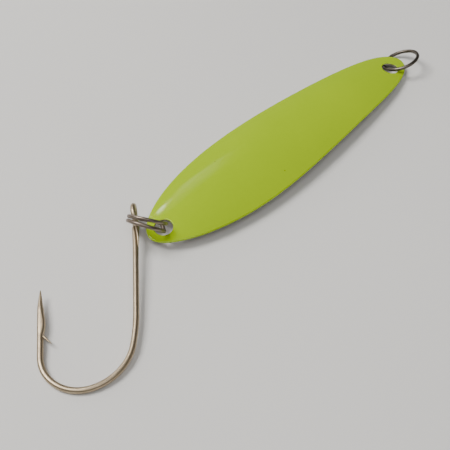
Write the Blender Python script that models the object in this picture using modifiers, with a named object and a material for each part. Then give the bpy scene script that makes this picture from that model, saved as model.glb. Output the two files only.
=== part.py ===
"""Casting spoon lure lying on a table: a stamped blade, a line ring, a split ring and a single hook.

Metres, +Z up. +X runs along the blade from its tail (hook end) to its head (line end), the table
is the plane z = 0, and the origin is under the middle of the whole lure's footprint. The blade lies
with its bulging, painted side up and rides on its two rings, and the hook is folded back beside it.
"""
from math import asin, cos, pi, radians, sin

import bmesh
import bpy
from mathutils import Euler, Matrix, Vector

MM = 0.001

# Blade: length, outline, two curvatures and sheet thickness
BLADE_LENGTH = 88.9 * MM
BLADE_THICKNESS = 0.7 * MM
OUTLINE_WAVES = (10.88 * MM, 0.8 * MM, 0.24 * MM, -0.42 * MM)   # half width, as a short sine series
ARCH_RADIUS = 355.0 * MM          # bend along the blade
CAMBER_RADIUS = 32.0 * MM         # bend across the blade
RIM_ROUNDING = 0.15 * MM
HOLE_DIAMETER = 4.2 * MM
TAIL_HOLE_SETBACK = 4.0 * MM      # tail tip to hole centre
HEAD_HOLE_SETBACK = 5.55 * MM     # head tip to hole centre
HEAD_HOLE_OFFSET = -1.0 * MM      # punched a little to one side
TAIL_HOLE_HEIGHT = 2.75 * MM      # middle of the sheet above the table at the tail hole
HEAD_HOLE_HEIGHT = 1.85 * MM
BLADE_ORIGIN_X = 16.654 * MM       # blade centre seen from the middle of the footprint
BLADE_ORIGIN_Y = 4.615 * MM
BLADE_ORIGIN_Z = 0.104 * MM

# Line ring: one closed ring of round wire
LINE_RING_MEAN_RADIUS = 4.52 * MM
LINE_RING_WIRE = 0.9 * MM
LINE_RING_CENTRE = (43.31 * MM, -1.13 * MM, 2.31 * MM)
LINE_RING_LEAN = radians(26.1)
LINE_RING_LEAN_AZIMUTH = radians(104.0)
LINE_RING_PIVOT = (38.82 * MM, -1.26 * MM, 1.84 * MM)   # where its wire hinges in the head hole

# Hook ring: a split ring of two flat turns joined by a step
HOOK_RING_MEAN_RADIUS = 4.18 * MM
HOOK_RING_WIRE = 0.85 * MM
HOOK_RING_PITCH = 1.31 * MM       # between the two turns, on average
HOOK_RING_SPLAY = 0.34 * MM       # wider at the blade, narrower at the hook
HOOK_RING_CENTRE = (-42.98 * MM, 2.55 * MM, 4.4 * MM)
HOOK_RING_LEAN = radians(52.7)
HOOK_RING_LEAN_AZIMUTH = radians(26.9)
HOOK_RING_STEP_ANGLE = radians(315.0)
HOOK_RING_STEP_SPREAD = radians(40.0)
HOOK_RING_PIVOT = (TAIL_HOLE_SETBACK - BLADE_LENGTH / 2, 0.0, TAIL_HOLE_HEIGHT)   # the tail hole's centre

# Hook: siwash pattern, one wire from the tapered end beside the eye to the point
HOOK_WIRE = 1.3 * MM
EYE_CENTRE = (-43.31 * MM, 6.53 * MM, 3.29 * MM)
SHANK_AZIMUTH = radians(-130.85)
SHANK_DIP = radians(3.5)
HOOK_ROLL = radians(1.0)
HOOK_PIVOT = (-44.555 * MM, 6.496 * MM, 3.432 * MM)   # on the line it swings about, inside the eye
EYE_MEAN_RADIUS = 2.6 * MM        # a ring eye standing across the bend's plane
EYE_WIRE = 1.24 * MM
EYE_NECK_RADIUS = 1.05 * MM
END_LENGTH = 8.5 * MM             # eye centre to the thin end of the wire, which lies on the shank
END_WIRE = 0.86 * MM              # where it leaves the eye; it tapers to almost nothing
END_GAP = 0.07 * MM
SHANK_OFFSET = 0.28 * MM          # the shank's line passes this far beside the eye's centre
SHANK_DROP = 0.3 * MM             # and under it by the eye
SHANK_EASE = 9.0 * MM             # distance over which it comes into line
SHANK_STRAIGHT = 24.3 * MM        # eye centre to the start of the bend
HOOK_BENDS = ((45.8 * MM, radians(9.3), 2),    # radius, turn and steps of the easing,
              (11.2 * MM, radians(66.3), 8),   # the heel
              (8.15 * MM, radians(101.1), 12))   # and the toe
POINT_LENGTH = 15.75 * MM         # toe of the bend to the tip
POINT_TAPER = 4.6 * MM
TIP_RADIUS = 0.06 * MM
SPEAR_START = 3.0 * MM            # the point widens inwards between these distances from the tip
SPEAR_END = 10.8 * MM
SPEAR_SWELL = 0.26 * MM
BARB_LENGTH = 3.55 * MM
BARB_ANGLE = radians(44.0)
BARB_WIRE = 0.55 * MM
BARB_FROM_TIP = 10.4 * MM

LENGTH_STATIONS = 44
ACROSS_STATIONS = 10
WIRE_RESOLUTION = 2

CHARTREUSE = (0.36, 0.50, 0.005, 1.0)
RING_METAL = (0.42, 0.39, 0.36, 1.0)
NICKEL = (0.62, 0.55, 0.46, 1.0)


def clear_scene():
    for obj in list(bpy.data.objects):
        bpy.data.objects.remove(obj, do_unlink=True)


def new_collection(name):
    collection = bpy.data.collections.new(name)
    bpy.context.scene.collection.children.link(collection)
    return collection


def make_material(name, colour, metallic, roughness):
    material = bpy.data.materials.new(name)
    material.use_nodes = True
    shader = material.node_tree.nodes["Principled BSDF"]
    shader.inputs["Base Color"].default_value = colour
    shader.inputs["Metallic"].default_value = metallic
    shader.inputs["Roughness"].default_value = roughness
    return material


def add_object(name, mesh, collection, material=None, parent=None):
    obj = bpy.data.objects.new(name, mesh)
    collection.objects.link(obj)
    obj.parent = parent
    if material:
        mesh.materials.append(material)
    return obj


def smooth(obj, limit=radians(40.0)):
    obj.data.shade_smooth()
    obj.data.set_sharp_from_angle(angle=limit)


# ---- blade ----

def half_width(turn):
    """Half the blade's width where turn goes from 0 at the tail tip to pi at the head tip."""
    return sum(wave * sin((count + 1) * turn) for count, wave in enumerate(OUTLINE_WAVES))


def sheet_height(x, y):
    """Height of the middle of the sheet: an arch, a camber and a slight fall towards the head."""
    tail_x = TAIL_HOLE_SETBACK - BLADE_LENGTH / 2
    head_x = BLADE_LENGTH / 2 - HEAD_HOLE_SETBACK
    tail_rise = TAIL_HOLE_HEIGHT + tail_x ** 2 / (2 * ARCH_RADIUS)
    head_rise = HEAD_HOLE_HEIGHT + head_x ** 2 / (2 * ARCH_RADIUS)
    base = tail_rise + (head_rise - tail_rise) * (x - tail_x) / (head_x - tail_x)
    return base - x ** 2 / (2 * ARCH_RADIUS) - y ** 2 / (2 * CAMBER_RADIUS)


def blade_sheet():
    """The open middle surface, a grid that closes to a point at each tip."""
    mesh = bmesh.new()
    rows = []
    for station in range(LENGTH_STATIONS + 1):
        turn = pi * station / LENGTH_STATIONS
        x = -BLADE_LENGTH / 2 * cos(turn)
        width = half_width(turn)
        row = []
        for step in range(ACROSS_STATIONS + 1):
            y = width * (2 * step / ACROSS_STATIONS - 1)
            row.append(mesh.verts.new((x, y, sheet_height(x, y))))
        rows.append(row)
    for back, front in zip(rows, rows[1:]):
        for step in range(ACROSS_STATIONS):
            mesh.faces.new((back[step], front[step], front[step + 1], back[step + 1]))
    bmesh.ops.remove_doubles(mesh, verts=mesh.verts, dist=0.01 * MM)
    bmesh.ops.recalc_face_normals(mesh, faces=mesh.faces)
    data = bpy.data.meshes.new("blade")
    mesh.to_mesh(data)
    mesh.free()
    return data


def hole_cutter(name, x, y, height, collection, parent):
    bpy.ops.mesh.primitive_cylinder_add(vertices=32, radius=HOLE_DIAMETER / 2, depth=6 * MM)
    cutter = bpy.context.object
    cutter.name = name
    cutter.location = (x, y, height)
    cutter.rotation_euler = (-asin(y / CAMBER_RADIUS), asin(x / ARCH_RADIUS), 0.0)
    cutter.parent = parent
    for owner in cutter.users_collection:
        owner.objects.unlink(cutter)
    collection.objects.link(cutter)
    cutter.hide_render = True
    cutter.display_type = "WIRE"
    return cutter


def make_blade(parts, cutters, base):
    paint = make_material("blade_paint", CHARTREUSE, 0.0, 0.22)
    blade = add_object("blade", blade_sheet(), parts, paint, base)
    solid = blade.modifiers.new("Sheet thickness", "SOLIDIFY")
    solid.thickness = BLADE_THICKNESS
    solid.offset = 0.0
    rim = blade.modifiers.new("Rounded rim", "BEVEL")
    rim.width = RIM_ROUNDING
    rim.segments = 1
    rim.limit_method = "ANGLE"
    rim.angle_limit = radians(50.0)
    tail_x = TAIL_HOLE_SETBACK - BLADE_LENGTH / 2
    head_x = BLADE_LENGTH / 2 - HEAD_HOLE_SETBACK
    holes = (("tail_hole", tail_x, 0.0, TAIL_HOLE_HEIGHT),
             ("head_hole", head_x, HEAD_HOLE_OFFSET, HEAD_HOLE_HEIGHT))
    for name, x, y, height in holes:
        cut = blade.modifiers.new(name, "BOOLEAN")
        cut.object = hole_cutter(name, x, y, height, cutters, base)
        cut.operation = "DIFFERENCE"
        cut.solver = "EXACT"
    smooth(blade)
    return blade


# ---- wire pieces ----

def wire_curve(points, diameter, closed=False, radii=None):
    """A round wire through the points; radii are shares of the full radius."""
    curve = bpy.data.curves.new("wire", "CURVE")
    curve.dimensions = "3D"
    curve.bevel_depth = diameter / 2
    curve.bevel_resolution = WIRE_RESOLUTION
    curve.use_fill_caps = True
    spline = curve.splines.new("POLY")
    spline.points.add(len(points) - 1)
    for index, point in enumerate(points):
        spline.points[index].co = (*point, 1.0)
        spline.points[index].radius = radii[index] if radii else 1.0
    spline.use_cyclic_u = closed
    return curve


def wire_mesh(name, curve):
    """The wire as one closed mesh with its caps welded on."""
    source = bpy.data.objects.new(name + "_wire", curve)
    bpy.context.scene.collection.objects.link(source)
    bpy.context.view_layer.update()
    evaluated = source.evaluated_get(bpy.context.evaluated_depsgraph_get())
    data = bpy.data.meshes.new_from_object(evaluated)
    data.name = name
    bpy.data.objects.remove(source, do_unlink=True)
    mesh = bmesh.new()
    mesh.from_mesh(data)
    bmesh.ops.remove_doubles(mesh, verts=mesh.verts, dist=0.002 * MM)
    bmesh.ops.recalc_face_normals(mesh, faces=mesh.faces)
    mesh.to_mesh(data)
    mesh.free()
    return data


def circle_points(radius, count):
    return [(radius * cos(2 * pi * i / count), radius * sin(2 * pi * i / count), 0.0) for i in range(count)]


def lay_piece(piece, meshes, centre, turn, pivot):
    """Lays a piece made about its own centre, and leaves its origin on the line it swings about."""
    offset = Euler(turn).to_matrix().transposed() @ (Vector(centre) - Vector(pivot))
    for mesh in meshes:
        mesh.transform(Matrix.Translation(offset))
    piece.location = pivot
    piece.rotation_euler = turn


def make_line_ring(parts, base):
    metal = make_material("line_ring_metal", RING_METAL, 1.0, 0.3)
    curve = wire_curve(circle_points(LINE_RING_MEAN_RADIUS, 36), LINE_RING_WIRE, closed=True)
    ring = add_object("line_ring", wire_mesh("line_ring", curve), parts, metal, base)
    lean = (0.0, LINE_RING_LEAN, LINE_RING_LEAN_AZIMUTH)
    lay_piece(ring, [ring.data], LINE_RING_CENTRE, lean, LINE_RING_PIVOT)
    smooth(ring)
    return ring


def ease(share):
    return share * share * (3.0 - 2.0 * share)


def split_ring_points():
    """Almost one turn below, a step up, and almost one turn above, ending over the first end."""
    points = []
    steps_per_turn = 40
    start = HOOK_RING_STEP_ANGLE + HOOK_RING_STEP_SPREAD * 0.5
    sweep = 4 * pi - 1.4 * HOOK_RING_STEP_SPREAD
    count = int(steps_per_turn * sweep / (2 * pi))
    for index in range(count + 1):
        swept = sweep * index / count
        into_step = (swept - (2 * pi - HOOK_RING_STEP_SPREAD)) / HOOK_RING_STEP_SPREAD
        level = ease(min(max(into_step, 0.0), 1.0)) - 0.5
        x = HOOK_RING_MEAN_RADIUS * cos(start + swept)
        y = HOOK_RING_MEAN_RADIUS * sin(start + swept)
        apart = HOOK_RING_PITCH - HOOK_RING_SPLAY * sin(start + swept)
        points.append((x, y, apart * level))
    return points


def make_hook_ring(parts, base):
    metal = make_material("hook_ring_metal", NICKEL, 1.0, 0.3)
    curve = wire_curve(split_ring_points(), HOOK_RING_WIRE)
    ring = add_object("hook_ring", wire_mesh("hook_ring", curve), parts, metal, base)
    lean = (0.0, HOOK_RING_LEAN, HOOK_RING_LEAN_AZIMUTH)
    lay_piece(ring, [ring.data], HOOK_RING_CENTRE, lean, HOOK_RING_PIVOT)
    smooth(ring)
    return ring


def arc(centre, radius, first, last, count):
    """Points of an arc in a plane, both ends included."""
    angles = [first + (last - first) * i / count for i in range(count + 1)]
    return [(centre[0] + radius * cos(a), centre[1] + radius * sin(a)) for a in angles]


def shank_line(x):
    """Sideways and upward place of the shank's middle at a distance from the eye's centre."""
    near = 1.0 - ease(min(max(x, 0.0) / SHANK_EASE, 1.0))
    return SHANK_OFFSET * (1.0 - near), -SHANK_DROP * near


def shank_radius(x):
    return EYE_WIRE / 2 + (HOOK_WIRE - EYE_WIRE) / 2 * min(max(x, 0.0) / SHANK_EASE, 1.0)


def end_radius(x):
    """The wire's thin end, by its distance from the eye's centre."""
    neck = EYE_MEAN_RADIUS + EYE_NECK_RADIUS
    share = min((END_LENGTH - x) / (END_LENGTH - neck), 1.0)
    return TIP_RADIUS + (END_WIRE / 2 - TIP_RADIUS) * share


def end_line(x):
    """Sideways and upward place of the thin end, which lies on the shank's shoulder."""
    side, rise = shank_line(x)
    apart = shank_radius(x) + end_radius(x) + END_GAP
    lean = radians(15.0 + 38.0 * x / END_LENGTH)
    return side + apart * sin(lean), rise + apart * cos(lean)


def eye_path():
    """From the thin end round the eye to its neck: places and radii; the eye is in the XZ plane."""
    reach = EYE_MEAN_RADIUS + EYE_NECK_RADIUS
    end_rise = end_line(reach * 0.85)[1]
    upper = asin((end_rise + EYE_NECK_RADIUS) / reach)
    lower = asin((SHANK_DROP * 0.75 + EYE_NECK_RADIUS) / reach)
    upper_x = reach * cos(upper)
    lower_x = reach * cos(lower)
    path = []
    for step in range(7):
        x = END_LENGTH + (upper_x - END_LENGTH) * step / 7
        side, rise = end_line(x)
        path.append((x, side, rise, end_radius(x)))
    side_at_neck = end_line(upper_x)[0]
    neck = arc((upper_x, end_rise + EYE_NECK_RADIUS), EYE_NECK_RADIUS, -pi / 2, upper - pi, 4)
    loop = arc((0.0, 0.0), EYE_MEAN_RADIUS, upper, 2 * pi - lower, 26)
    for count, (x, z) in enumerate(neck[:-1] + loop):
        share = min(count / 10.0, 1.0)
        side = side_at_neck * ease(min(max(x, 0.0) / upper_x, 1.0)) if z > 0.0 else shank_line(x)[0]
        path.append((x, side, z, end_radius(upper_x) * (1.0 - share) + EYE_WIRE / 2 * share))
    neck = arc((lower_x, -SHANK_DROP * 0.75 - EYE_NECK_RADIUS), EYE_NECK_RADIUS, pi - lower, pi / 2, 4)
    path += [(x, shank_line(x)[0], z, EYE_WIRE / 2) for x, z in neck[1:]]
    return path


def spear_swell(from_tip):
    """How far the point's middle moves inwards, and its radius grows, at a distance from the tip."""
    if from_tip <= SPEAR_START or from_tip >= SPEAR_END:
        return 0.0
    share = (from_tip - SPEAR_START) / (SPEAR_END - SPEAR_START)
    return SPEAR_SWELL * sin(pi * share ** 1.8)


def bend_path():
    """Shank, bend and point leg: places and radii, in the XY plane with the point at -Y."""
    full = HOOK_WIRE / 2
    path = []
    for share in (0.18, 0.22, 0.27, 0.32, 0.38, 0.55, 0.75, 1.0):
        x = SHANK_STRAIGHT * share
        path.append((x, *shank_line(x), shank_radius(x)))
    x, y, z, radius = path[-1]
    heading = 0.0
    for radius, turn, steps in HOOK_BENDS:
        for step in range(steps):
            heading -= turn / steps
            x += radius * turn / steps * cos(heading + turn / steps / 2)
            y += radius * turn / steps * sin(heading + turn / steps / 2)
            path.append((x, y, 0.0, full))
    leg_steps = 22
    for step in range(1, leg_steps + 1):
        along = POINT_LENGTH * step / leg_steps
        from_tip = POINT_LENGTH - along
        swell = spear_swell(from_tip)
        taper = min(from_tip / POINT_TAPER, 1.0) ** 0.75
        path.append((x + along * cos(heading), y + along * sin(heading) + swell, 0.0,
                     TIP_RADIUS + (full - TIP_RADIUS) * taper + swell))
    return path


def barb_object(tip, cutters, parent):
    """A thin spike lifted from the inside of the point leg, raked back towards the bend."""
    root = (tip[0] + BARB_FROM_TIP, tip[1] + 0.7 * MM)
    along = [BARB_LENGTH * share for share in (0.0, 0.2, 0.45, 0.75, 1.0)]
    points = [(root[0] + d * cos(BARB_ANGLE), root[1] + d * sin(BARB_ANGLE), 0.0) for d in along]
    curve = wire_curve(points, BARB_WIRE, radii=[1.0, 1.0, 0.8, 0.5, 0.16])
    barb = add_object("barb_union", wire_mesh("barb_union", curve), cutters, None, parent)
    barb.hide_render = True
    barb.display_type = "WIRE"
    return barb


def make_hook(parts, cutters, base):
    metal = make_material("hook_metal", NICKEL, 1.0, 0.25)
    path = eye_path() + bend_path()
    points = [place[:3] for place in path]
    curve = wire_curve(points, HOOK_WIRE, radii=[place[3] / (HOOK_WIRE / 2) for place in path])
    hook = add_object("hook", wire_mesh("hook", curve), parts, metal, base)
    for vertex in hook.data.vertices:
        if vertex.co.y < points[-1][1] / 2:
            vertex.co.z = min(max(vertex.co.z, -HOOK_WIRE / 2), HOOK_WIRE / 2)
    barb = barb_object(points[-1], cutters, hook)
    lie = (HOOK_ROLL, SHANK_DIP, SHANK_AZIMUTH)
    lay_piece(hook, [hook.data, barb.data], EYE_CENTRE, lie, HOOK_PIVOT)
    join = hook.modifiers.new("Barb", "BOOLEAN")
    join.object = barb
    join.operation = "UNION"
    join.solver = "EXACT"
    smooth(hook)
    return hook


def main():
    clear_scene()
    parts = new_collection("spoon_lure")
    cutters = new_collection("cutters")
    base = bpy.data.objects.new("blade_centre", None)
    base.location = (BLADE_ORIGIN_X, BLADE_ORIGIN_Y, BLADE_ORIGIN_Z)
    parts.objects.link(base)
    make_blade(parts, cutters, base)
    make_line_ring(parts, base)
    make_hook_ring(parts, base)
    make_hook(parts, cutters, base)
    bpy.context.view_layer.update()


main()
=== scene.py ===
"""Looks for a casting spoon lure: painted blade, line ring, split ring and a single siwash hook.

Sizes are in millimetres and are turned into metres where a mesh or an object is made. +X runs
along the blade from its tail to its head, +Z is up, and the table is z = 0. The blade's middle
comes from the box of its CAD node, and the other pieces are placed from there.
"""
from math import asin, cos, pi, radians, sin, tanh

import bmesh
import bpy
from mathutils import Euler, Matrix, Vector
from mathutils.geometry import delaunay_2d_cdt


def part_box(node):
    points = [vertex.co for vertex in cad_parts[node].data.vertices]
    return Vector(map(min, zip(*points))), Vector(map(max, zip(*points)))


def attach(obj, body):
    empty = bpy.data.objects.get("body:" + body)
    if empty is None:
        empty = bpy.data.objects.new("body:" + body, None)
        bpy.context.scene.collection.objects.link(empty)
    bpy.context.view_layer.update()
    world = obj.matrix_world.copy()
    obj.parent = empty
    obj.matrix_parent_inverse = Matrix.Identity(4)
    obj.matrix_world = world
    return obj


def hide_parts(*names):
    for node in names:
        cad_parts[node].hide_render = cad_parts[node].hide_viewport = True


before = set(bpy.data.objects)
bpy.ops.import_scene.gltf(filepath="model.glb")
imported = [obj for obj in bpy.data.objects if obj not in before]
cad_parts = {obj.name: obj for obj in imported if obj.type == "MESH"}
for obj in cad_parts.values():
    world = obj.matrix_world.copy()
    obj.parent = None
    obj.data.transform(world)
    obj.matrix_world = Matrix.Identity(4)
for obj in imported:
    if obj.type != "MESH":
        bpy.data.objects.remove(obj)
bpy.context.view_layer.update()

MM = 0.001

# Blade
BLADE_LENGTH = 88.9
BLADE_THICKNESS = 0.7
OUTLINE_WAVES = (10.88, 0.8, 0.24, -0.42)   # half width, as a short sine series
ARCH_RADIUS = 355.0
CAMBER_RADIUS = 32.0
HOLE_RADIUS = 2.1
TAIL_HOLE = (4.0 - BLADE_LENGTH / 2, 0.0)
HEAD_HOLE = (BLADE_LENGTH / 2 - 5.55, -1.0)
TAIL_HOLE_HEIGHT = 2.75
HEAD_HOLE_HEIGHT = 1.85
RIM_RADIUS = 0.3
RIM_BARE_FROM = 0.8 * pi             # paint runs over the rim to here, counted from the upper side
HOLE_LIP_RADIUS = 0.2
HOLE_BARE_FROM = 0.4 * pi
EDGE_STEPS = 12                      # steps of a rounded edge from the upper side to the lower one
OUTLINE_STEPS = 300
HOLE_STEPS = 72
GRID_STEP = 0.62
ROW_SPACING = 0.87                   # of the grid step, so that triangles are nearly even
HOLE_CLEARANCE = 0.75                # grid points stay this far from a hole's edge
RIM_CLEARANCE = 0.45                 # and this far inside the outline's rounded rim
PAINTED, BARE = 0, 1                 # material slots of the blade's mesh

# Line ring; every wire size from here on is a radius
LINE_RING_RADIUS = 4.52
LINE_RING_WIRE = 0.45
LINE_RING_CENTRE = (43.31, -1.13, 2.31)
LINE_RING_TURN = (0.0, radians(26.1), radians(104.0))
LINE_RING_STEPS = 144

# Hook ring
HOOK_RING_RADIUS = 4.18
HOOK_RING_WIRE = 0.425
HOOK_RING_PITCH = 1.31
HOOK_RING_SPLAY = 0.34
HOOK_RING_CENTRE = (-42.98, 2.55, 4.4)
HOOK_RING_TURN = (0.0, radians(52.7), radians(26.9))
HOOK_RING_STEP_ANGLE = radians(315.0)
HOOK_RING_STEP_SPREAD = radians(40.0)
HOOK_RING_GAP = 1.4 * HOOK_RING_STEP_SPREAD   # left out of two full turns
HOOK_RING_STEPS = 260

# Hook
HOOK_WIRE = 0.65
EYE_CENTRE = (-43.31, 6.53, 3.29)
HOOK_TURN = (radians(1.0), radians(3.5), radians(-130.85))
EYE_RADIUS = 2.6
EYE_WIRE = 0.62
EYE_NECK_RADIUS = 1.05
END_LENGTH = 8.5
END_WIRE = 0.43
END_GAP = 0.07
END_LEAN = (15.0, 38.0)              # degrees round the shank at the eye, and how many more at the tip
END_NECK_SHARE = 0.85                # of the eye's reach, where the thin end's height is taken
SHANK_OFFSET = 0.28
SHANK_DROP = 0.3
NECK_DROP = 0.75 * SHANK_DROP        # where the eye's neck runs into the shank
SHANK_EASE = 9.0
SHANK_STRAIGHT = 24.3
SHANK_FROM_EYE = 0.17                # share of the straight at its first point, just past the eye's neck
# Radius, turn and steps of the easing, the heel and the toe
HOOK_BENDS = ((45.8, radians(9.3), 6), (11.2, radians(66.3), 26), (8.15, radians(101.1), 36))
POINT_LENGTH = 15.75
POINT_TAPER = 4.6
TIP_RADIUS = 0.05
SPEAR_START = 3.0
SPEAR_END = 10.8
SPEAR_SWELL = 0.2
SPEAR_SKEW = 1.8                     # above 1 puts the widest place nearer to the barb
TAPER_POWER = 0.75
END_STEPS = 24                       # steps of the hook's path, from the thin end to the tip
NECK_STEPS = 12
EYE_STEPS = 78
EYE_GROWTH_STEPS = 30                # over which the thin wire reaches its full size
SHANK_STEPS = 28
POINT_STEPS = 60
FLAT_SHARE = 0.75                    # of the wire's radius, where the point leg's sides turn flat
BARB_LENGTH = 3.55
BARB_ANGLE = radians(44.0)
BARB_FROM_TIP = 10.4
BARB_ROOT_INSET = 0.7                # from the point leg's middle towards the shank
BARB_SIDES = 14
BARB_RADII = (0.28, 0.28, 0.27, 0.25, 0.23, 0.2, 0.16, 0.12, 0.08, 0.03)

# Domed wire ends; the height and the flat left on top are shares of the wire's radius
DOME_STEPS = 5
DOME_HEIGHT = 0.55
DOME_FLAT = 0.06
WIRE_SIDES = 20

# Camera, in millimetres from the blade's origin
CAMERA_PLACE = (-114.345, -93.412, 144.78)
CAMERA_RIGHT = (0.7088, -0.7054, 0.0)
CAMERA_FORWARD = (0.45345, 0.45559, -0.76604)
CAMERA_LENS = 67.1

FLOOR_DROP = 0.02                    # the floor lies this far under z = 0
FLOOR_REACH = 3000.0
BLADE_LIFT = 0.104                   # z of the blade's origin
HAIRLINE_FINENESS = 260.0
LAMP_WARM = (1.0, 0.98, 0.95)
CARD_WARM = (1.0, 0.97, 0.92)
LAMP_WHITE = (1.0, 1.0, 1.0)

blade_low, blade_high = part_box("blade")
blade_middle = (blade_low + blade_high) / 2
BLADE_ORIGIN = Vector((blade_middle.x, blade_middle.y, BLADE_LIFT * MM))


# ---- node helpers ----

def new_material(name):
    made = bpy.data.materials.new(name)
    made.use_nodes = True
    return made, made.node_tree, made.node_tree.nodes["Principled BSDF"]


def add_node(tree, kind, settings=None, **sockets):
    """A node with its plain settings and its sockets, each linked or set to a value."""
    node = tree.nodes.new(kind)
    for key, value in (settings or {}).items():
        setattr(node, key, value)
    for key, value in sockets.items():
        socket = node.inputs[key.replace("_", " ")]
        if isinstance(value, bpy.types.NodeSocket):
            tree.links.new(value, socket)
        else:
            socket.default_value = value
    return node


def scaled(tree, vector, scale, turn=(0.0, 0.0, 0.0)):
    return add_node(tree, "ShaderNodeMapping", Vector=vector, Scale=scale, Rotation=turn).outputs["Vector"]


def noise(tree, vector, scale, detail=3.0, roughness=0.5):
    node = add_node(tree, "ShaderNodeTexNoise", Vector=vector, Scale=scale, Detail=detail,
                    Roughness=roughness)
    return node.outputs["Fac"]


def spread(tree, value, low, high, to_low, to_high):
    """Maps a value from one range to another, held at both ends."""
    node = add_node(tree, "ShaderNodeMapRange", Value=value, From_Min=low, From_Max=high,
                    To_Min=to_low, To_Max=to_high)
    return node.outputs["Result"]


def combine(tree, operation, first, second):
    """One arithmetic step on two sockets or values."""
    node = add_node(tree, "ShaderNodeMath", {"operation": operation})
    for socket, value in zip(node.inputs, (first, second)):
        if isinstance(value, bpy.types.NodeSocket):
            tree.links.new(value, socket)
        else:
            socket.default_value = value
    return node.outputs["Value"]


def blend(tree, first, first_share, second, second_share):
    """The sum of two values, each times its share."""
    return combine(tree, "ADD", combine(tree, "MULTIPLY", first, first_share),
                   combine(tree, "MULTIPLY", second, second_share))


def ramp(tree, value, *stops):
    """Colours along a value, as pairs of a place and a colour."""
    node = add_node(tree, "ShaderNodeValToRGB", Fac=value)
    elements = node.color_ramp.elements
    while len(elements) < len(stops):
        elements.new(0.5)
    for element, (place, colour) in zip(elements, stops):
        element.position = place
        element.color = (*colour, 1.0)
    return node.outputs["Color"]


def bump(tree, height, distance):
    """A bump whose distance is in metres."""
    return add_node(tree, "ShaderNodeBump", Height=height, Distance=distance).outputs["Normal"]


def link(tree, value, shader, socket):
    tree.links.new(value, shader.inputs[socket])


def hairlines(tree, place, turns):
    """Fine scratches: thin ridges of a stretched noise, laid in a few directions."""
    total = None
    for turn in turns:
        stretched = scaled(tree, place, (0.05, 1.0, 1.0), (0.0, 0.0, turn))
        grain = noise(tree, stretched, HAIRLINE_FINENESS, detail=1.0)
        line = spread(tree, grain, 0.69, 0.74, 0.0, 1.0)
        total = line if total is None else combine(tree, "MAXIMUM", total, line)
    return total


# ---- materials ----

def paint_material():
    """Glossy fluorescent chartreuse: uneven film, soft orange peel, specks and a few hairlines."""
    made, tree, shader = new_material("chartreuse_paint")
    place = add_node(tree, "ShaderNodeTexCoord").outputs["Object"]
    cloud = noise(tree, place, 45.0, detail=3.0)
    mottle = noise(tree, place, 900.0, detail=2.0)
    film = blend(tree, cloud, 0.8, mottle, 0.2)
    colour = ramp(tree, film, (0.30, (0.355, 0.545, 0.0001)), (0.52, (0.378, 0.572, 0.0001)),
                  (0.72, (0.400, 0.595, 0.0002)))
    cells = add_node(tree, "ShaderNodeTexVoronoi", Vector=place, Scale=420.0, Randomness=1.0)
    chosen = add_node(tree, "ShaderNodeSeparateColor", Color=cells.outputs["Color"]).outputs["Red"]
    rare = spread(tree, chosen, 0.955, 0.96, 0.0, 1.0)
    dot = spread(tree, cells.outputs["Distance"], 0.06, 0.11, 1.0, 0.0)
    speck = combine(tree, "MULTIPLY", rare, dot)
    mixed = add_node(tree, "ShaderNodeMix", {"data_type": "RGBA"})
    tree.links.new(combine(tree, "MULTIPLY", speck, 0.55), mixed.inputs[0])
    tree.links.new(colour, mixed.inputs[6])
    mixed.inputs[7].default_value = (0.12, 0.17, 0.002, 1.0)
    link(tree, mixed.outputs[2], shader, "Base Color")
    scratches = hairlines(tree, place, (0.35, 1.3, 2.4))
    smear = noise(tree, place, 120.0, detail=4.0, roughness=0.6)
    film_rough = spread(tree, smear, 0.3, 0.7, 0.09, 0.14)
    rough = combine(tree, "ADD", film_rough, combine(tree, "MULTIPLY", scratches, 0.12))
    link(tree, rough, shader, "Roughness")
    peel = noise(tree, place, 520.0, detail=1.5, roughness=0.45)
    height = combine(tree, "ADD", peel, combine(tree, "MULTIPLY", speck, 1.5))
    height = combine(tree, "SUBTRACT", height, combine(tree, "MULTIPLY", scratches, 0.15))
    link(tree, bump(tree, height, 0.000006), shader, "Normal")
    shader.inputs["Specular IOR Level"].default_value = 0.3
    shader.inputs["Coat Weight"].default_value = 0.15
    shader.inputs["Coat Roughness"].default_value = 0.04
    return made


def plate_material():
    """Bare nickel plate of the hollow face: rolled grain, water marks and handling scratches."""
    made, tree, shader = new_material("nickel_plate")
    place = add_node(tree, "ShaderNodeTexCoord").outputs["Object"]
    grain = noise(tree, scaled(tree, place, (0.04, 1.0, 1.0)), 2600.0, detail=2.0)
    stain = noise(tree, place, 70.0, detail=5.0, roughness=0.6)
    tone = blend(tree, grain, 0.35, stain, 0.65)
    colour = ramp(tree, tone, (0.32, (0.42, 0.38, 0.33)), (0.5, (0.58, 0.54, 0.48)),
                  (0.68, (0.70, 0.66, 0.59)))
    link(tree, colour, shader, "Base Color")
    scratches = hairlines(tree, place, (0.2, 0.9, 1.9))
    plate_rough = spread(tree, tone, 0.3, 0.7, 0.34, 0.2)
    rough = combine(tree, "ADD", plate_rough, combine(tree, "MULTIPLY", scratches, 0.15))
    link(tree, rough, shader, "Roughness")
    height = combine(tree, "SUBTRACT", grain, combine(tree, "MULTIPLY", scratches, 0.8))
    link(tree, bump(tree, height, 0.000004), shader, "Normal")
    shader.inputs["Metallic"].default_value = 1.0
    return made


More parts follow.
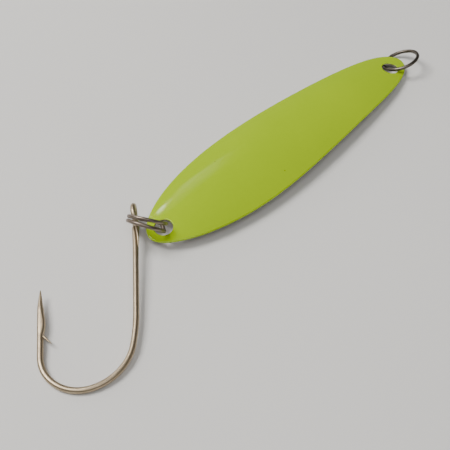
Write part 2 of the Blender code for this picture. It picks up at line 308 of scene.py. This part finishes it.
def wire_material(name, dark, mid, bright, roughness, grain_depth):
    """Drawn and plated wire: lines along the wire, blotches of tarnish and worn bright spots."""
    made, tree, shader = new_material(name)
    coords = add_node(tree, "ShaderNodeTexCoord")
    place, along = coords.outputs["Object"], coords.outputs["UV"]
    lines = noise(tree, scaled(tree, along, (0.35, 46.0, 1.0)), 1.0, detail=2.0, roughness=0.6)
    tarnish = noise(tree, place, 420.0, detail=4.0, roughness=0.65)
    pits = noise(tree, place, 3800.0, detail=2.0)
    tone = blend(tree, lines, 0.4, tarnish, 0.6)
    link(tree, ramp(tree, tone, (0.36, dark), (0.5, mid), (0.66, bright)), shader, "Base Color")
    low, high = roughness
    link(tree, spread(tree, tone, 0.36, 0.64, high, low), shader, "Roughness")
    height = combine(tree, "ADD", lines, combine(tree, "MULTIPLY", pits, 0.5))
    link(tree, bump(tree, height, grain_depth * MM), shader, "Normal")
    shader.inputs["Metallic"].default_value = 1.0
    return made


def floor_material():
    """Plain pale board with a faint, fine tooth."""
    made, tree, shader = new_material("pale_floor")
    place = add_node(tree, "ShaderNodeTexCoord").outputs["Object"]
    tooth = noise(tree, place, 1400.0, detail=3.0)
    cloud = noise(tree, place, 6.0, detail=2.0)
    colour = ramp(tree, cloud, (0.3, (0.80, 0.79, 0.77)), (0.7, (0.84, 0.83, 0.81)))
    link(tree, colour, shader, "Base Color")
    link(tree, bump(tree, tooth, 0.00002), shader, "Normal")
    shader.inputs["Roughness"].default_value = 0.85
    shader.inputs["Specular IOR Level"].default_value = 0.2
    return made


# ---- pieces ----

def add_object(name, data):
    piece = bpy.data.objects.new(name, data)
    bpy.context.scene.collection.objects.link(piece)
    return piece


def add_wire_piece(name, data, centre, turn):
    """Puts a wire that was made about its own origin in its place."""
    place = Matrix.Translation(BLADE_ORIGIN + Vector(centre) * MM)
    data.transform(place @ Euler(turn).to_matrix().to_4x4())
    return add_object(name, data)


# ---- blade ----

def outline_point(turn):
    """A point of the outline; turn runs from the tail tip round the +Y side to the head and back."""
    y = sum(wave * sin((count + 1) * turn) for count, wave in enumerate(OUTLINE_WAVES))
    return Vector((-BLADE_LENGTH / 2 * cos(turn), y))


def outline_normal(turn):
    """The way out of the outline at a point of it."""
    step = 1e-4
    along = outline_point(turn + step) - outline_point(turn - step)
    return Vector((-along.y, along.x)).normalized()


def arch_rise(x):
    """How far the arch's top stands above the sheet at a distance from the blade's middle."""
    return x ** 2 / (2 * ARCH_RADIUS)


# Slope of the sheet's chord, so that both holes lie at their heights
SHEET_SLOPE = (HEAD_HOLE_HEIGHT + arch_rise(HEAD_HOLE[0]) - TAIL_HOLE_HEIGHT
               - arch_rise(TAIL_HOLE[0])) / (HEAD_HOLE[0] - TAIL_HOLE[0])


def sheet_height(x, y):
    """Height of the middle of the sheet: an arch, a camber and a slight slope between the holes."""
    tail_x = TAIL_HOLE[0]
    base = TAIL_HOLE_HEIGHT + arch_rise(tail_x) + SHEET_SLOPE * (x - tail_x)
    return base - arch_rise(x) - y ** 2 / (2 * CAMBER_RADIUS)


def sheet_normal(x, y):
    return Vector((x / ARCH_RADIUS - SHEET_SLOPE, y / CAMBER_RADIUS, 1.0)).normalized()


class SheetMesh:
    """Collects vertices given on the plan with an offset along the sheet's normal."""

    def __init__(self):
        self.points, self.normals, self.faces, self.kinds = [], [], [], []

    def point(self, plan, offset, normal):
        """Adds a vertex at an offset from the middle of the sheet."""
        up = sheet_normal(plan[0], plan[1])
        middle = Vector((plan[0], plan[1], sheet_height(plan[0], plan[1])))
        self.points.append((middle + up * offset) * MM + BLADE_ORIGIN)
        self.normals.append(normal.normalized())
        return len(self.points) - 1

    def face(self, corners, kind):
        self.faces.append(corners)
        self.kinds.append(kind)

    def skirt(self, loop, outward, radius, bare_from):
        """A rounded edge from the upper sheet to the lower one round a closed loop of the plan.

        loop holds (plan point, upper vertex, lower vertex); outward gives the way out at each;
        bare_from is the turn from which the edge shows bare plate."""
        half = BLADE_THICKNESS / 2
        previous = [upper for _, upper, _ in loop]
        for count in range(1, EDGE_STEPS + 1):
            turn = pi * count / EDGE_STEPS
            current = []
            for (plan, _, lower), away in zip(loop, outward):
                if count == EDGE_STEPS:
                    current.append(lower)
                    continue
                reach = radius * sin(turn)
                offset = (half - radius) * (1 if turn < pi / 2 else -1) + radius * cos(turn)
                if count == EDGE_STEPS // 2:
                    offset = 0.0
                spot = (plan[0] + away.x * reach, plan[1] + away.y * reach)
                up = sheet_normal(*spot)
                side = Vector((away.x, away.y, 0.0))
                side = (side - up * side.dot(up)).normalized()
                current.append(self.point(spot, offset, up * cos(turn) + side * sin(turn)))
            kind = BARE if turn > bare_from else PAINTED
            size = len(loop)
            for index in range(size):
                after = (index + 1) % size
                self.face((previous[after], current[after], current[index], previous[index]), kind)
            previous = current


def inside_outline(x, y, margin):
    """Whether a plan point lies inside the outline by at least the margin."""
    share = -x / (BLADE_LENGTH / 2 - margin)
    if abs(share) >= 1.0:
        return False
    turn = pi / 2 - asin(share)
    return abs(y) < outline_point(turn).y - margin


def plan_triangles():
    """The plan's points and triangles: outline and hole edges kept, an even grid between them."""
    edge_plan, edge_away = [], []
    for step in range(OUTLINE_STEPS):
        turn = 2 * pi * (step + 0.5) / OUTLINE_STEPS
        away = outline_normal(turn)
        edge_plan.append(outline_point(turn) - away * RIM_RADIUS)
        edge_away.append(away)
    loops = [(edge_plan, edge_away)]
    holes = [Vector(TAIL_HOLE), Vector(HEAD_HOLE)]
    for hole in holes:
        spokes = [Vector((cos(a), sin(a))) for a in (2 * pi * i / HOLE_STEPS for i in range(HOLE_STEPS))]
        reach = HOLE_RADIUS + HOLE_LIP_RADIUS
        loops.append(([hole + spoke * reach for spoke in spokes], [-spoke for spoke in spokes]))
    points, edges = [], []
    for plan, _ in loops:
        start = len(points)
        points += plan
        edges += [(start + i, start + (i + 1) % len(plan)) for i in range(len(plan))]
    columns = int(BLADE_LENGTH / GRID_STEP)
    rows = int(2 * OUTLINE_WAVES[0] / GRID_STEP) + 4
    for column in range(columns + 1):
        for row in range(rows + 1):
            x = (column - columns / 2 + 0.5 * (row % 2)) * GRID_STEP
            y = (row - rows / 2) * GRID_STEP * ROW_SPACING
            clear = all((Vector((x, y)) - hole).length > HOLE_RADIUS + HOLE_CLEARANCE for hole in holes)
            if clear and inside_outline(x, y, RIM_RADIUS + RIM_CLEARANCE):
                points.append(Vector((x, y)))
    verts, _, faces = delaunay_2d_cdt(points, edges, [], 0, 1e-6)[:3]
    kept = []
    # Triangles across a hole or outside the outline are dropped; the limits lie just beyond the loops
    for face in faces:
        middle = sum((verts[i] for i in face), Vector((0.0, 0.0))) / len(face)
        in_hole = any((middle - hole).length < HOLE_RADIUS + HOLE_LIP_RADIUS * 0.9 for hole in holes)
        on_sheet = inside_outline(middle.x, middle.y, RIM_RADIUS * 0.6)
        if on_sheet and not in_hole:
            kept.append(face)
    return verts, kept, loops


def build_blade(materials):
    """Painted upper sheet, bare lower one and rounded edges between them, as one closed mesh."""
    verts, faces, loops = plan_triangles()
    sheet = SheetMesh()
    half = BLADE_THICKNESS / 2
    upper, lower = [], []
    for plan in verts:
        up = sheet_normal(plan.x, plan.y)
        upper.append(sheet.point(plan, half, up))
        lower.append(sheet.point(plan, -half, -up))
    for face in faces:
        sheet.face([upper[i] for i in face], PAINTED)
        sheet.face([lower[i] for i in reversed(face)], BARE)
    start = 0
    for number, (plan, away) in enumerate(loops):
        ids = range(start, start + len(plan))
        loop = [(verts[i], upper[i], lower[i]) for i in ids]
        edge = (RIM_RADIUS, RIM_BARE_FROM) if number == 0 else (HOLE_LIP_RADIUS, HOLE_BARE_FROM)
        sheet.skirt(loop, away, *edge)
        start += len(plan)
    data = bpy.data.meshes.new("blade_shell")
    data.from_pydata(sheet.points, [], sheet.faces)
    for material in materials:
        data.materials.append(material)
    data.polygons.foreach_set("material_index", sheet.kinds)
    data.shade_smooth()
    data.normals_split_custom_set_from_vertices(sheet.normals)
    return add_object("blade_shell", data)


# ---- wire ----

def tube(name, points, radii, sides=WIRE_SIDES, closed=False):
    """A round wire along the points, with lengths along it and turns round it as its map."""
    mesh = bmesh.new()
    layer = mesh.loops.layers.uv.new("wire")
    points = [Vector(p) for p in points]
    count = len(points)
    tangents = []
    for index in range(count):
        before = points[index - 1] if closed or index else points[0]
        after = points[(index + 1) % count] if closed or index < count - 1 else points[-1]
        tangents.append((after - before).normalized())
    side = tangents[0].orthogonal().normalized()
    rings, lengths, length = [], [], 0.0
    for index, (point, tangent) in enumerate(zip(points, tangents)):
        if index:
            side = tangents[index - 1].rotation_difference(tangent) @ side
            length += (point - points[index - 1]).length
        side = (side - tangent * side.dot(tangent)).normalized()
        other = tangent.cross(side)
        ring = []
        for step in range(sides):
            turn = 2 * pi * step / sides
            ring.append(mesh.verts.new((point + (side * cos(turn) + other * sin(turn)) * radii[index]) * MM))
        rings.append(ring)
        lengths.append(length)
    pairs = list(zip(range(count - 1), range(1, count)))
    if closed:
        pairs.append((count - 1, 0))
    for first, second in pairs:
        near_ring, far_ring = rings[first], rings[second]
        near = lengths[first]
        far = lengths[second] if second else length + (points[0] - points[-1]).length
        for step in range(sides):
            after = (step + 1) % sides
            face = mesh.faces.new((near_ring[step], near_ring[after], far_ring[after], far_ring[step]))
            face.smooth = True
            low, high = step / sides, (step + 1) / sides
            for loop, spot in zip(face.loops, ((near, low), (near, high), (far, high), (far, low))):
                loop[layer].uv = spot
    if not closed:
        for corners in (rings[0][::-1], rings[-1]):
            cap = mesh.faces.new(corners)
            cap.smooth = True
    data = bpy.data.meshes.new(name)
    mesh.to_mesh(data)
    mesh.free()
    return data


def dome(tip, inner, radius):
    """Places and radii of a low dome beyond a wire's last point."""
    away = (tip - inner).normalized()
    turns = [pi / 2 * step / DOME_STEPS for step in range(1, DOME_STEPS + 1)]
    places = [tip + away * radius * DOME_HEIGHT * sin(turn) for turn in turns]
    return places, [radius * max(cos(turn), DOME_FLAT) for turn in turns]


def rounded(points, radius):
    """Places and radii of an even wire with a dome added at both ends."""
    points = [Vector(p) for p in points]
    first_places, first_radii = dome(points[0], points[1], radius)
    last_places, last_radii = dome(points[-1], points[-2], radius)
    radii = first_radii[::-1] + [radius] * len(points) + last_radii
    return first_places[::-1] + points + last_places, radii


def ease(share):
    """A smooth step from 0 to 1."""
    return share * share * (3.0 - 2.0 * share)


def build_line_ring(material):
    """One closed round of wire."""
    turns = [2 * pi * step / LINE_RING_STEPS for step in range(LINE_RING_STEPS)]
    points = [(LINE_RING_RADIUS * cos(turn), LINE_RING_RADIUS * sin(turn), 0.0) for turn in turns]
    data = tube("line_ring_wire", points, [LINE_RING_WIRE] * len(points), closed=True)
    data.materials.append(material)
    return add_wire_piece("line_ring_wire", data, LINE_RING_CENTRE, LINE_RING_TURN)


def build_hook_ring(material):
    """Two turns of wire, one above the other, with a step between them and domed ends."""
    start = HOOK_RING_STEP_ANGLE + HOOK_RING_STEP_SPREAD * 0.5
    sweep = 4 * pi - HOOK_RING_GAP
    points = []
    for step in range(HOOK_RING_STEPS + 1):
        swept = sweep * step / HOOK_RING_STEPS
        into_step = (swept - (2 * pi - HOOK_RING_STEP_SPREAD)) / HOOK_RING_STEP_SPREAD
        level = ease(min(max(into_step, 0.0), 1.0)) - 0.5
        x = HOOK_RING_RADIUS * cos(start + swept)
        y = HOOK_RING_RADIUS * sin(start + swept)
        points.append((x, y, (HOOK_RING_PITCH - HOOK_RING_SPLAY * sin(start + swept)) * level))
    points, radii = rounded(points, HOOK_RING_WIRE)
    data = tube("hook_ring_coil", points, radii)
    data.materials.append(material)
    return add_wire_piece("hook_ring_coil", data, HOOK_RING_CENTRE, HOOK_RING_TURN)


# ---- hook ----

def arc(centre, radius, first, last, count):
    angles = [first + (last - first) * i / count for i in range(count + 1)]
    return [(centre[0] + radius * cos(a), centre[1] + radius * sin(a)) for a in angles]


def shank_line(x):
    """Sideways and upward place of the shank's middle at a distance from the eye's centre."""
    near = 1.0 - ease(min(max(x, 0.0) / SHANK_EASE, 1.0))
    return SHANK_OFFSET * (1.0 - near), -SHANK_DROP * near


def shank_radius(x):
    return EYE_WIRE + (HOOK_WIRE - EYE_WIRE) * min(max(x, 0.0) / SHANK_EASE, 1.0)


def end_radius(x):
    """The wire's thin end, by its distance from the eye's centre."""
    share = min((END_LENGTH - x) / (END_LENGTH - EYE_RADIUS - EYE_NECK_RADIUS), 1.0)
    return TIP_RADIUS + (END_WIRE - TIP_RADIUS) * share


def end_line(x):
    """Sideways and upward place of the thin end, which lies on the shank's shoulder."""
    side, rise = shank_line(x)
    apart = shank_radius(x) + end_radius(x) + END_GAP
    lean = radians(END_LEAN[0] + END_LEAN[1] * x / END_LENGTH)
    return side + apart * sin(lean), rise + apart * cos(lean)


def eye_path():
    """From the thin end round the eye to its neck: places and radii; the eye is in the XZ plane."""
    reach = EYE_RADIUS + EYE_NECK_RADIUS
    end_rise = end_line(reach * END_NECK_SHARE)[1]
    upper = asin((end_rise + EYE_NECK_RADIUS) / reach)
    lower = asin((NECK_DROP + EYE_NECK_RADIUS) / reach)
    upper_x, lower_x = reach * cos(upper), reach * cos(lower)
    path = []
    for step in range(END_STEPS):
        x = END_LENGTH + (upper_x - END_LENGTH) * step / END_STEPS
        path.append((x, *end_line(x), end_radius(x)))
    side_at_neck = end_line(upper_x)[0]
    neck = arc((upper_x, end_rise + EYE_NECK_RADIUS), EYE_NECK_RADIUS, -pi / 2, upper - pi, NECK_STEPS)
    loop = arc((0.0, 0.0), EYE_RADIUS, upper, 2 * pi - lower, EYE_STEPS)
    for count, (x, z) in enumerate(neck[:-1] + loop):
        share = min(count / EYE_GROWTH_STEPS, 1.0)
        side = side_at_neck * ease(min(max(x, 0.0) / upper_x, 1.0)) if z > 0.0 else shank_line(x)[0]
        path.append((x, side, z, end_radius(upper_x) * (1.0 - share) + EYE_WIRE * share))
    middle = (lower_x, -NECK_DROP - EYE_NECK_RADIUS)
    neck = arc(middle, EYE_NECK_RADIUS, pi - lower, pi / 2, NECK_STEPS)
    path += [(x, shank_line(x)[0], z, EYE_WIRE) for x, z in neck[1:]]
    return path


def spear_swell(from_tip):
    """How far the point's middle moves inwards, and its radius grows, at a distance from the tip."""
    if from_tip <= SPEAR_START or from_tip >= SPEAR_END:
        return 0.0
    share = (from_tip - SPEAR_START) / (SPEAR_END - SPEAR_START)
    return SPEAR_SWELL * sin(pi * share ** SPEAR_SKEW)


def bend_path():
    """Shank, bend and point leg: places and radii, in the XY plane with the point at -Y."""
    path = []
    for step in range(SHANK_STEPS + 1):
        x = SHANK_STRAIGHT * (SHANK_FROM_EYE + (1 - SHANK_FROM_EYE) * step / SHANK_STEPS)
        path.append((x, *shank_line(x), shank_radius(x)))
    x, y = path[-1][:2]
    heading = 0.0
    for radius, turn, steps in HOOK_BENDS:
        for step in range(steps):
            heading -= turn / steps
            x += radius * turn / steps * cos(heading + turn / steps / 2)
            y += radius * turn / steps * sin(heading + turn / steps / 2)
            path.append((x, y, 0.0, HOOK_WIRE))
    for step in range(1, POINT_STEPS + 1):
        along = POINT_LENGTH * step / POINT_STEPS
        from_tip = POINT_LENGTH - along
        swell = spear_swell(from_tip)
        taper = min(from_tip / POINT_TAPER, 1.0) ** TAPER_POWER
        path.append((x + along * cos(heading), y + along * sin(heading) + swell, 0.0,
                     TIP_RADIUS + (HOOK_WIRE - TIP_RADIUS) * taper + swell))
    return path


def build_hook(material):
    """Eye, shank, bend and point as one wire, its sides flattened on the point leg, and the barb."""
    path = eye_path() + bend_path()
    tip = path[-1]
    data = tube("hook_wire", [place[:3] for place in path], [place[3] for place in path])
    data.materials.append(material)
    flat = HOOK_WIRE * FLAT_SHARE * MM
    room = HOOK_WIRE * (1 - FLAT_SHARE) * MM
    point_side = tip[1] / 2 * MM
    for vertex in data.vertices:
        over = abs(vertex.co.z) - flat
        if vertex.co.y < point_side and over > 0.0:
            vertex.co.z = (flat + room * tanh(over / room)) * (1 if vertex.co.z > 0 else -1)
    root = Vector((tip[0] + BARB_FROM_TIP, tip[1] + BARB_ROOT_INSET, 0.0))
    way = Vector((cos(BARB_ANGLE), sin(BARB_ANGLE), 0.0))
    last = len(BARB_RADII) - 1
    barb_line = [root + way * BARB_LENGTH * step / last for step in range(last + 1)]
    barb = tube("hook_barb", barb_line, BARB_RADII, sides=BARB_SIDES)
    barb.materials.append(material)
    joined = bmesh.new()
    joined.from_mesh(data)
    joined.from_mesh(barb)
    joined.to_mesh(data)
    joined.free()
    return add_wire_piece("hook_wire", data, EYE_CENTRE, HOOK_TURN)


# ---- stage ----

def soft_light(name, azimuth, elevation, distance, size, power, colour):
    """A square or oblong light aimed at the middle of the lure: degrees, metres and watts."""
    a, e = radians(azimuth), radians(elevation)
    away = Vector((cos(a) * cos(e), sin(a) * cos(e), sin(e)))
    light = bpy.data.lights.new(name, "AREA")
    light.shape = "RECTANGLE"
    light.size, light.size_y = size
    light.energy = power
    light.color = colour
    lamp = add_object(name, light)
    lamp.location = away * distance
    lamp.rotation_euler = away.to_track_quat("Z", "Y").to_euler()


def build_floor(material):
    """A wide floor just under the table plane; it is stage and no part of the lure."""
    mesh = bmesh.new()
    bmesh.ops.create_grid(mesh, x_segments=8, y_segments=8, size=FLOOR_REACH * MM)
    data = bpy.data.meshes.new("pale_floor")
    mesh.to_mesh(data)
    mesh.free()
    data.materials.append(material)
    floor = add_object("pale_floor", data)
    floor.location = (0.0, 0.0, -FLOOR_DROP * MM)


def build_camera():
    """The camera stands behind the tail, on the -Y side, and looks down at about fifty degrees."""
    data = bpy.data.cameras.new("camera")
    data.sensor_width = 36.0
    data.lens = CAMERA_LENS
    data.clip_start, data.clip_end = 0.005, 20.0
    camera = add_object("camera", data)
    camera.location = BLADE_ORIGIN + Vector(CAMERA_PLACE) * MM
    right = Vector(CAMERA_RIGHT).normalized()
    forward = Vector(CAMERA_FORWARD).normalized()
    above = right.cross(forward)
    camera.rotation_euler = Matrix((right, above, -forward)).transposed().to_euler()
    bpy.context.scene.camera = camera


def build_world():
    """A dim grey room, lighter at the horizon than above."""
    world = bpy.data.worlds.new("studio")
    bpy.context.scene.world = world
    world.use_nodes = True
    tree = world.node_tree
    background = tree.nodes["Background"]
    way = add_node(tree, "ShaderNodeTexCoord").outputs["Generated"]
    height = add_node(tree, "ShaderNodeSeparateXYZ", Vector=way).outputs["Z"]
    greys = ((0.0, 0.26), (0.25, 0.17), (0.5, 0.10))
    glow = ramp(tree, height, *((place, (grey, grey, grey)) for place, grey in greys))
    tree.links.new(glow, background.inputs["Color"])


def main():
    paint, plate = paint_material(), plate_material()
    steel_tones = ((0.10, 0.085, 0.07), (0.14, 0.12, 0.10), (0.20, 0.175, 0.15))
    coil_tones = ((0.18, 0.145, 0.115), (0.24, 0.195, 0.16), (0.32, 0.265, 0.215))
    nickel_tones = ((0.36, 0.285, 0.19), (0.43, 0.345, 0.235), (0.51, 0.415, 0.29))
    steel = wire_material("line_ring_steel", *steel_tones, (0.26, 0.4), 0.003)
    coil = wire_material("hook_ring_nickel", *coil_tones, (0.3, 0.4), 0.002)
    nickel = wire_material("hook_nickel", *nickel_tones, (0.34, 0.44), 0.0015)
    made = (
        (build_blade((paint, plate)), "blade", "blade_paint"),
        (build_line_ring(steel), "line_ring", "line_ring_metal"),
        (build_hook_ring(coil), "hook_ring", "hook_ring_metal"),
        (build_hook(nickel), "hook", "hook_metal"),
    )
    bpy.context.view_layer.update()
    for piece, node, slot in made:
        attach(piece, node)
        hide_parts(node)
    build_floor(floor_material())
    build_world()
    soft_light("key", 122.0, 56.0, 0.8, (0.4, 0.4), 6.6, LAMP_WARM)
    soft_light("card", 92.0, 22.0, 0.9, (0.34, 0.34), 1.1, CARD_WARM)
    soft_light("streak", 70.2, 41.4, 0.8, (0.018, 0.055), 0.075, LAMP_WARM)
    soft_light("wash", 62.0, 37.0, 0.9, (0.12, 0.12), 0.09, LAMP_WARM)
    soft_light("fill", 240.0, 66.0, 0.9, (0.6, 0.6), 2.2, LAMP_WHITE)
    build_camera()


main()
bpy.context.view_layer.update()
